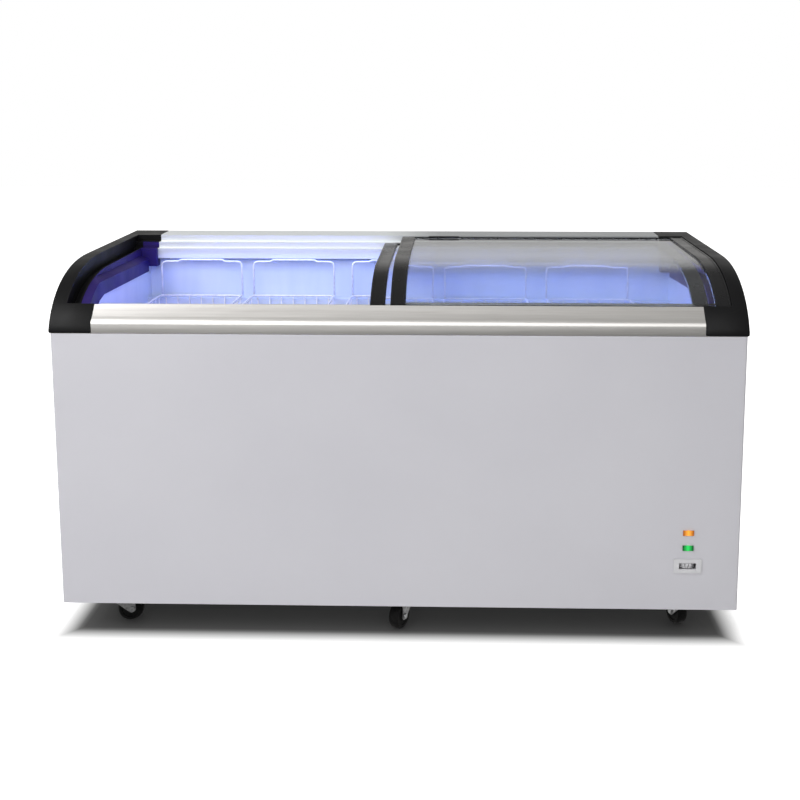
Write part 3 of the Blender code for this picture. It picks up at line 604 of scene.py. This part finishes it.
# marks and numbers on the rim of the thermostat's dial
dial_low, dial_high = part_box("thermostat_dial")
radius = (dial_high.x - dial_low.x) / 2
DIAL_CENTRE = Matrix.Translation(JOINTS["thermostat_turn"]["pos_m"])
MARKS = 36
NUMBERS = 14
bm = bmesh.new()
for i in range(MARKS):
    tall = 0.0060 if i % 5 == 0 else 0.0036
    base = bmesh.ops.create_cube(bm, size=1.0)["verts"]
    turn = DIAL_CENTRE @ Matrix.Rotation(math.radians(i * 360 / MARKS), 4, "Z")
    stand = Matrix.Translation((0, -radius, -0.0022)) @ Matrix.Diagonal((0.0010, 0.0003, tall, 1.0))
    bmesh.ops.transform(bm, matrix=turn @ stand, verts=base)
add_mesh("dial_marks", bm, INK, "thermostat_dial")
for i in range(NUMBERS):
    text = bpy.data.curves.new("dial_number_%d" % (i + 1), "FONT")
    text.body = str(i % 7 + 1)
    text.size = 0.0075
    text.extrude = 0.00012
    text.offset = 0.00018
    text.align_x = "CENTER"
    text.align_y = "CENTER"
    number = bpy.data.objects.new("dial_number_%d" % (i + 1), text)
    turn = DIAL_CENTRE @ Matrix.Rotation(math.radians(i * 360 / NUMBERS + 8), 4, "Z")
    stand = Matrix.Translation((0, -radius * 1.004, 0.0014)) @ Matrix.Rotation(math.pi / 2, 4, "X")
    number.matrix_world = turn @ stand
    bpy.context.scene.collection.objects.link(number)
    text.materials.append(INK)
    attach(number, "thermostat_dial")


# ------------------------------------------------------------------ edges of the lids' stiles
def rim(u, inward=0.0):
    """The profile that caps, rails and lids share: (depth, height) on it or inside it."""
    pts = [Vector(p) for p in ((0.0, 0.635), (0.018, 0.690), (0.085, 0.768), (0.270, 0.7715))]
    if u <= 1.0:
        v = 1.0 - u
        at = v**3 * pts[0] + 3 * v * v * u * pts[1] + 3 * v * u * u * pts[2] + u**3 * pts[3]
        way = v * v * (pts[1] - pts[0]) + 2 * v * u * (pts[2] - pts[1]) + u * u * (pts[3] - pts[2])
    else:
        way = Vector((0.6645, 0.782)) - pts[3]
        at = pts[3] + way * (u - 1.0)
    way = way.normalized()
    return at + Vector((way.y, -way.x)) * inward


def swept(name, x, u0, u1, high, low, mat, body, count=40):
    """A strip of rectangular section between two offsets of the profile, from u0 to u1."""
    bm = bmesh.new()
    rings = []
    for i in range(count + 1):
        u = u0 + (u1 - u0) * i / count
        a = rim(u, high)
        b = rim(u, low)
        rings.append([bm.verts.new((px, FRONT + p.x, BODY_Z + p.y))
                      for px, p in ((x[0], b), (x[1], b), (x[1], a), (x[0], a))])
    for r0, r1 in zip(rings, rings[1:]):
        for k in range(4):
            bm.faces.new((r0[k], r0[(k + 1) % 4], r1[(k + 1) % 4], r1[k]))
    bm.faces.new(rings[0][::-1])
    bm.faces.new(rings[-1])
    bmesh.ops.recalc_face_normals(bm, faces=bm.faces)
    obj = add_mesh(name, bm, mat, body, smooth=True)
    bevel = obj.modifiers.new("round", "BEVEL")
    bevel.width = 0.0004
    bevel.segments = 2
    bevel.limit_method = "ANGLE"


# raised edges on the stiles, with the shallow groove between them
EDGE_OFF = 0.0008  # from the stile's side to the raised edge
EDGE_END = 0.0052  # and to its far side
EDGE_START = 0.325
for lid_name, top, end_u in (("upper_lid", 0.003, 1.755), ("lower_lid", 0.017, 1.70)):
    for side in ("left", "right"):
        stile = lid_name + "_" + side + "_stile"
        s_low, s_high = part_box(stile)
        outer = (s_low.x + EDGE_OFF, s_low.x + EDGE_END)
        inner = (s_high.x - EDGE_END, s_high.x - EDGE_OFF)
        for tag, across in (("outer", outer), ("inner", inner)):
            swept(stile + "_edge_" + tag, across, EDGE_START, end_u, top - 0.0010, top + 0.0002,
                  STILE, lid_name)


# ------------------------------------------------------------------ screws and pad
def screw(bm, place, way, radius=0.0035, height=0.0012):
    """A low tapered screw head, standing on a surface whose normal is way."""
    stand = Vector(way).to_track_quat("Z", "Y").to_matrix().to_4x4()
    head = bmesh.ops.create_cone(bm, cap_ends=True, segments=20, radius1=radius, radius2=radius * 0.72,
                                 depth=height)
    lift = Matrix.Translation((0, 0, height / 2))
    bmesh.ops.transform(bm, matrix=Matrix.Translation(place) @ stand @ lift, verts=head["verts"])


# screws round the back panel; none stands behind the grille
back_low, back_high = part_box("back_panel")
grille_low, grille_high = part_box("rear_grille")
bm = bmesh.new()
back_y = back_high.y + 0.0001
IN = 0.012  # from the panel's edge to a row of screws
CORNER = 0.022  # from its corner to the end of the long rows
ROW = 9
for i in range(ROW):
    x = back_low.x + CORNER + (back_high.x - back_low.x - 2 * CORNER) * i / (ROW - 1)
    screw(bm, (x, back_y, back_high.z - IN), (0, 1, 0))
    if not grille_low.x - 0.03 < x < grille_high.x + 0.03:
        screw(bm, (x, back_y, back_low.z + IN), (0, 1, 0))
for z in (back_low.z + 0.20, back_low.z + 0.42):
    for x in (back_low.x + IN, back_high.x - IN):
        screw(bm, (x, back_y, z), (0, 1, 0))
add_mesh("back_panel_screws", bm, GALV, "cabinet", True)

# bolts that hold the caster plates to the base
bm = bmesh.new()
BOLT_IN = 0.007
for name in NODES:
    if name.endswith("_plate"):
        p_low, p_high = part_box(name)
        for x in (p_low.x + BOLT_IN, p_high.x - BOLT_IN):
            for y in (p_low.y + BOLT_IN, p_high.y - BOLT_IN):
                screw(bm, (x, y, p_low.z - 0.0001), (0, 0, -1), 0.0042, 0.0030)
add_mesh("caster_plate_bolts", bm, GALV, "cabinet", True)

# the grip pad on the upper lid's rear edge
trim_low, trim_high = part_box("upper_lid_rear_trim")
bm = bmesh.new()
block(bm, (trim_low.x + 0.036, trim_low.x + 0.118), (trim_high.y - 0.0100, trim_high.y - 0.0008),
      (trim_high.z - 0.002, trim_high.z + 0.0022), 0.0008)
add_mesh("upper_lid_rear_pad", bm, STILE, "upper_lid", True)


# ------------------------------------------------------------------ stage, light, camera
floor_bm = bmesh.new()
bmesh.ops.create_grid(floor_bm, x_segments=8, y_segments=8, size=14.0)
mesh = bpy.data.meshes.new("studio_floor")
floor_bm.to_mesh(mesh)
floor_bm.free()
floor = bpy.data.objects.new("studio_floor", mesh)
bpy.context.scene.collection.objects.link(floor)
fm = Mat("studio_white", 0.7, 0.0, (0.9, 0.9, 0.9))
SHADE_X, SHADE_Y = 0.735, 0.285  # half the rectangle of painted shadow under the body
SHADE_SOFT = 0.085  # how far beyond it the painted shadow fades and the floor is white again
beyond_x = fm.math("MAXIMUM", fm.math("SUBTRACT", fm.math("ABSOLUTE", fm.axis("X")), SHADE_X), 0.0)
beyond_y = fm.math("MAXIMUM", fm.math("SUBTRACT", fm.math("ABSOLUTE", fm.axis("Y")), SHADE_Y), 0.0)
past_painted_shadow = fm.math("MAXIMUM", beyond_x, beyond_y)
pale = fm.ramp(fm.noise(0.8, 2.0), [(0.3, (0.90, 0.90, 0.90)), (0.7, (0.93, 0.93, 0.93))])
# painted shadow: the floor's colour is near black under the body and pales outward, and the camera-ray glow
# below is held off there
fm.to("Base Color", fm.mix(fm.span(past_painted_shadow, 0.0, 1.0, 0.0, SHADE_SOFT), (0.10, 0.10, 0.10), pale))
fm.s.inputs["Emission Color"].default_value = (1.0, 1.0, 1.0, 1.0)
seen = fm.t.nodes.new("ShaderNodeLightPath")
fm.to("Emission Strength", fm.math("MULTIPLY", fm.span(past_painted_shadow, 0.0, 1.0, 0.010, SHADE_SOFT),
                                   seen.outputs["Is Camera Ray"]))
floor.data.materials.append(fm.m)
floor.visible_glossy = False

world = bpy.data.worlds.new("studio")
bpy.context.scene.world = world
world.use_nodes = True
wt = world.node_tree
plain = wt.nodes["Background"]
plain.inputs["Color"].default_value = (1.0, 1.0, 1.0, 1.0)
plain.inputs["Strength"].default_value = 1.0
round_about = wt.nodes.new("ShaderNodeBackground")
place = wt.nodes.new("ShaderNodeTexCoord")
split = wt.nodes.new("ShaderNodeSeparateXYZ")
wt.links.new(place.outputs["Generated"], split.inputs["Vector"])


def sky(stops):
    """Slightly warm brightness from the horizon (0) to straight up (1)."""
    ramp = wt.nodes.new("ShaderNodeValToRGB")
    ramp.color_ramp.interpolation = "EASE"
    elements = ramp.color_ramp.elements
    for at, value in stops:
        if at == 0.0:
            stop = elements[0]
        elif at == 1.0:
            stop = elements[-1]
        else:
            stop = elements.new(at)
        stop.color = (value, value * 0.99, value * 0.97, 1.0)
    wt.links.new(split.outputs["Z"], ramp.inputs["Fac"])
    return ramp.outputs["Color"]


before = sky(((0.0, 0.22), (0.15, 0.16), (0.45, 0.22), (1.0, 0.45)))
behind = sky(((0.0, 0.50), (0.25, 0.62), (0.45, 0.62), (0.62, 0.20), (1.0, 0.45)))
turn_round = wt.nodes.new("ShaderNodeMapRange")
turn_round.inputs["From Min"].default_value = -0.15
turn_round.inputs["From Max"].default_value = 0.35
wt.links.new(split.outputs["Y"], turn_round.inputs["Value"])
blend = wt.nodes.new("ShaderNodeMix")
blend.data_type = "RGBA"
wt.links.new(turn_round.outputs["Result"], blend.inputs[0])
wt.links.new(before, blend.inputs[6])
wt.links.new(behind, blend.inputs[7])
wt.links.new(blend.outputs[2], round_about.inputs["Color"])
round_about.inputs["Strength"].default_value = 1.0
ray = wt.nodes.new("ShaderNodeLightPath")
both = wt.nodes.new("ShaderNodeMixShader")
wt.links.new(ray.outputs["Is Camera Ray"], both.inputs[0])
wt.links.new(round_about.outputs[0], both.inputs[1])
wt.links.new(plain.outputs[0], both.inputs[2])
wt.links.new(both.outputs[0], wt.nodes["World Output"].inputs["Surface"])


def area(name, place, aim, size, power, colour=(1, 1, 1), unseen=False):
    """A rectangular lamp; an unseen one doesn't show itself, by sight, in a gloss or through a pane."""
    data = bpy.data.lights.new(name, "AREA")
    data.shape = "RECTANGLE"
    data.size, data.size_y = size
    data.energy = power
    data.color = colour
    obj = bpy.data.objects.new(name, data)
    obj.location = place
    obj.rotation_euler = (Vector(aim) - Vector(place)).to_track_quat("-Z", "Y").to_euler()
    bpy.context.scene.collection.objects.link(obj)
    if unseen:
        obj.visible_camera = False
        obj.visible_glossy = False
        obj.visible_transmission = False


area("key_strip", (-0.5, -3.9, 3.2), (0, 0, 0.45), (6.4, 3.3), 124.0)
area("key_left", (-2.9, -2.2, 3.0), (-0.3, 0, 0.5), (2.0, 2.0), 62.0)
area("top_soft", (0.0, 0.2, 3.4), (0, 0, 0.4), (3.2, 1.4), 8.0, unseen=True)
area("back_soft", (0.0, 3.6, 2.4), (0, 0.2, 0.5), (3.0, 1.2), 22.0, unseen=True)

# the blue glow of the lamp bar and of its reflection from the rear rail, and violet light on the caps
BLUE = (0.17, 0.26, 1.0)
VIOLET = (0.22, 0.10, 1.0)
GLOW_SIZE = (1.30, 0.016)
lamp_low, lamp_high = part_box("led_lamp")
inside = (lamp_low.x + lamp_high.x) / 2
area("lamp_glow_front", (inside, lamp_high.y + 0.012, lamp_high.z + 0.004), (inside, 0.22, 0.62),
     GLOW_SIZE, 1.25, BLUE, unseen=True)
rail_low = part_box("rear_rail")[0]
area("lamp_glow_rear", (inside, rail_low.y - 0.015, rail_low.z + 0.115), (inside, -0.05, 0.35),
     GLOW_SIZE, 0.8, BLUE, unseen=True)
for side, way in (("left", -1), ("right", 1)):
    area("lamp_glow_side_" + side, (way * 0.50, -0.10, 0.66), (way * 0.70, -0.05, 0.80),
         (0.05, 0.40), 0.22, VIOLET, unseen=True)

cam_data = bpy.data.cameras.new("photo_camera")
cam = bpy.data.objects.new("photo_camera", cam_data)
bpy.context.scene.collection.objects.link(cam)
cam_data.sensor_width = 36.0
cam_data.lens = 47.73
cam_data.shift_x = -0.040
cam_data.shift_y = -0.180
cam_data.clip_end = 60.0
cam.location = (0.1343, -2.607, 1.196)
cam.rotation_euler = Euler((math.radians(90.0 - 7.77), 0.0, math.radians(1.409)), "XYZ")
bpy.context.scene.camera = cam
bpy.context.scene.view_settings.view_transform = "Standard"
